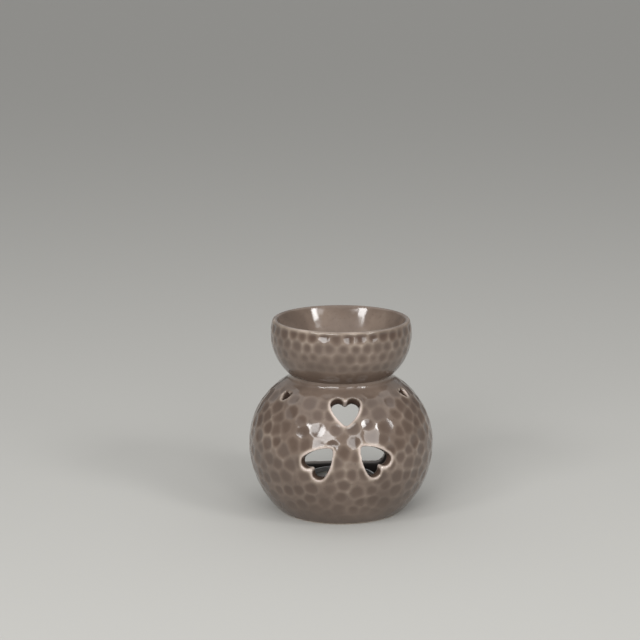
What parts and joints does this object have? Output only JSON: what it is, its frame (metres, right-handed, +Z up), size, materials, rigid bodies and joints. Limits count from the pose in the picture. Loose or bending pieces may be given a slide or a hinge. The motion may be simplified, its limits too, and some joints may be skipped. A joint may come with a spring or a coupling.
{
  "type": "essential oil burner",
  "caption": "Glazed ceramic oil burner: a dimpled globe fire chamber with heart cut-outs and a rear doorway, an oil bowl fixed on its neck, and a tealight that lifts out at the back.",
  "frame": {"origin": "centre of the foot ring, on the surface that the burner stands on", "axes": "+Z up through the bowl, -Y towards the heart cut-outs at the front, +Y out of the rear doorway"},
  "size_m": [0.1, 0.0939, 0.1041],
  "materials": {
    "taupe_glaze": "glossy taupe glaze, thin and pale on the edges",
    "cup_aluminium": "drawn sheet, bright",
    "candle_wax": "paraffin wax, satin",
    "wick_cotton": "braided cotton, waxed",
    "tab_tinplate": "stamped tinplate"
  },
  "bodies": {
    "burner": {"chamber": "taupe_glaze", "oil_bowl": "taupe_glaze"},
    "tealight": {"tealight_cup": "cup_aluminium", "tealight_wax": "candle_wax", "wick": "wick_cotton", "wick_tab": "tab_tinplate"}
  },
  "joints": [
    {"name": "tealight_lift_out", "type": "slide", "parent": "burner", "child": "tealight", "axis": [0, 0.9135, 0.4067], "range_m": [0, 0.08]}
  ]
}
